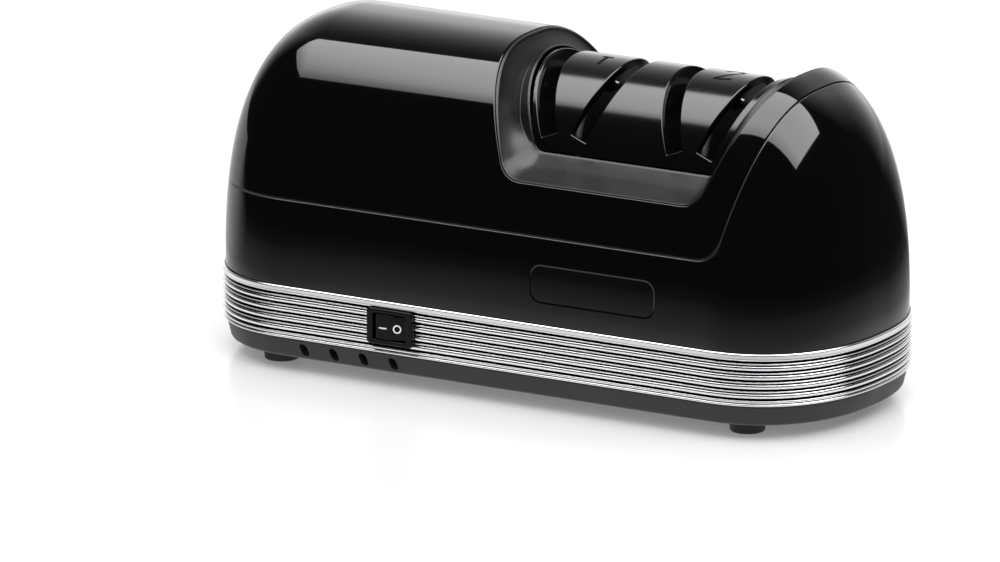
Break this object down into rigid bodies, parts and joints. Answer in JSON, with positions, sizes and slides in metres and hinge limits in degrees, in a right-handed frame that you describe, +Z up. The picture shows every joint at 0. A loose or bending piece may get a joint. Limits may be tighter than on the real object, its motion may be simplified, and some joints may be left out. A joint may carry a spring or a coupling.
{
  "type": "electric knife sharpener",
  "caption": "Free-standing electric knife sharpener with slanted blade slots over sprung grinding wheels, a rocker switch and a ribbed bright band.",
  "frame": {"origin": "centre of the footprint, on the surface that the feet stand on", "axes": "+X along the length towards the slots, +Y towards the back, +Z up"},
  "size_m": [0.2094, 0.0892, 0.099],
  "materials": {
    "gloss_shell": "piano gloss black",
    "satin_frame": "satin graphite",
    "satin_barrel": "satin black",
    "band_chrome": "bright plated, ribbed",
    "base_black": "fine matt texture",
    "switch_black": "satin",
    "foot_rubber": "matt rubber",
    "plain_steel": "turned and ground steel",
    "zinc_frame": "grey",
    "copper_wire": "enamelled copper",
    "sintered_bronze": "bearing bronze",
    "carbon_block": "matt carbon",
    "board_green": "laminate",
    "grit": "abrasive-coated steel",
    "magnet_nickel": "nickel plated"
  },
  "bodies": {
    "housing": {"upper_cover": "gloss_shell", "lower_housing": "gloss_shell", "slot_frame": "satin_frame", "slot_barrel": "satin_barrel", "trim_band": "band_chrome", "base_tray": "base_black", "switch_frame": "switch_black", "cord_gland": "foot_rubber", "drive_frame": "zinc_frame", "stator_core": "plain_steel", "circuit_board": "board_green", "capacitor": "base_black", "foot_front_left": "foot_rubber", "base_screw_front_left": "plain_steel", "foot_front_right": "foot_rubber", "base_screw_front_right": "plain_steel", "foot_rear_left": "foot_rubber", "base_screw_rear_left": "plain_steel", "foot_rear_right": "foot_rubber", "base_screw_rear_right": "plain_steel", "motor_end_frame_left": "zinc_frame", "motor_bearing_left": "sintered_bronze", "spindle_bearing_left": "sintered_bronze", "motor_end_frame_right": "zinc_frame", "motor_bearing_right": "sintered_bronze", "spindle_bearing_right": "sintered_bronze", "field_coil_lower": "copper_wire", "field_coil_upper": "copper_wire", "brush_holder_front": "sintered_bronze", "carbon_brush_front": "carbon_block", "motor_screw_front": "plain_steel", "brush_holder_rear": "sintered_bronze", "carbon_brush_rear": "carbon_block", "motor_screw_rear": "plain_steel", "guide_magnet_1": "magnet_nickel", "guide_magnet_2": "magnet_nickel", "guide_magnet_3": "magnet_nickel", "guide_magnet_4": "magnet_nickel", "switch_terminal_1": "sintered_bronze", "switch_terminal_2": "sintered_bronze"},
    "spindle": {"motor_shaft": "plain_steel", "armature_core": "plain_steel", "armature_winding_left": "copper_wire", "armature_winding_right": "copper_wire", "commutator": "copper_wire", "cooling_fan": "base_black", "shaft_coupling": "sintered_bronze", "grinding_spindle": "plain_steel", "coarse_clip_left": "plain_steel", "coarse_clip_right": "plain_steel", "fine_clip_left": "plain_steel", "fine_clip_right": "plain_steel", "coarse_wheel_spring": "plain_steel", "fine_wheel_spring": "plain_steel"},
    "switch_rocker": {"switch_rocker": "switch_black"},
    "coarse_wheel_left": {"coarse_wheel_left": "grit"},
    "coarse_wheel_right": {"coarse_wheel_right": "grit"},
    "fine_wheel_left": {"fine_wheel_left": "grit"},
    "fine_wheel_right": {"fine_wheel_right": "grit"}
  },
  "joints": [
    {"name": "spindle_spin", "type": "hinge", "parent": "housing", "child": "spindle", "pos_m": [0, 0, 0.0706], "axis": [1, 0, 0], "continuous": true},
    {"name": "switch_rock", "type": "hinge", "parent": "housing", "child": "switch_rocker", "pos_m": [-0.0324, -0.0409, 0.01824], "axis": [0, 0, -1], "range_deg": [0, 16]},
    {"name": "coarse_wheel_left_slide", "type": "slide", "parent": "spindle", "child": "coarse_wheel_left", "axis": [1, 0, 0], "range_m": [0, 0.0012], "stiffness_N_per_m": 600, "springref_m": -0.002, "deforming": ["coarse_wheel_spring"]},
    {"name": "coarse_wheel_right_slide", "type": "slide", "parent": "spindle", "child": "coarse_wheel_right", "axis": [-1, 0, 0], "range_m": [0, 0.0012], "stiffness_N_per_m": 600, "springref_m": -0.002},
    {"name": "fine_wheel_left_slide", "type": "slide", "parent": "spindle", "child": "fine_wheel_left", "axis": [1, 0, 0], "range_m": [0, 0.0012], "stiffness_N_per_m": 600, "springref_m": -0.002, "deforming": ["fine_wheel_spring"]},
    {"name": "fine_wheel_right_slide", "type": "slide", "parent": "spindle", "child": "fine_wheel_right", "axis": [-1, 0, 0], "range_m": [0, 0.0012], "stiffness_N_per_m": 600, "springref_m": -0.002}
  ]
}
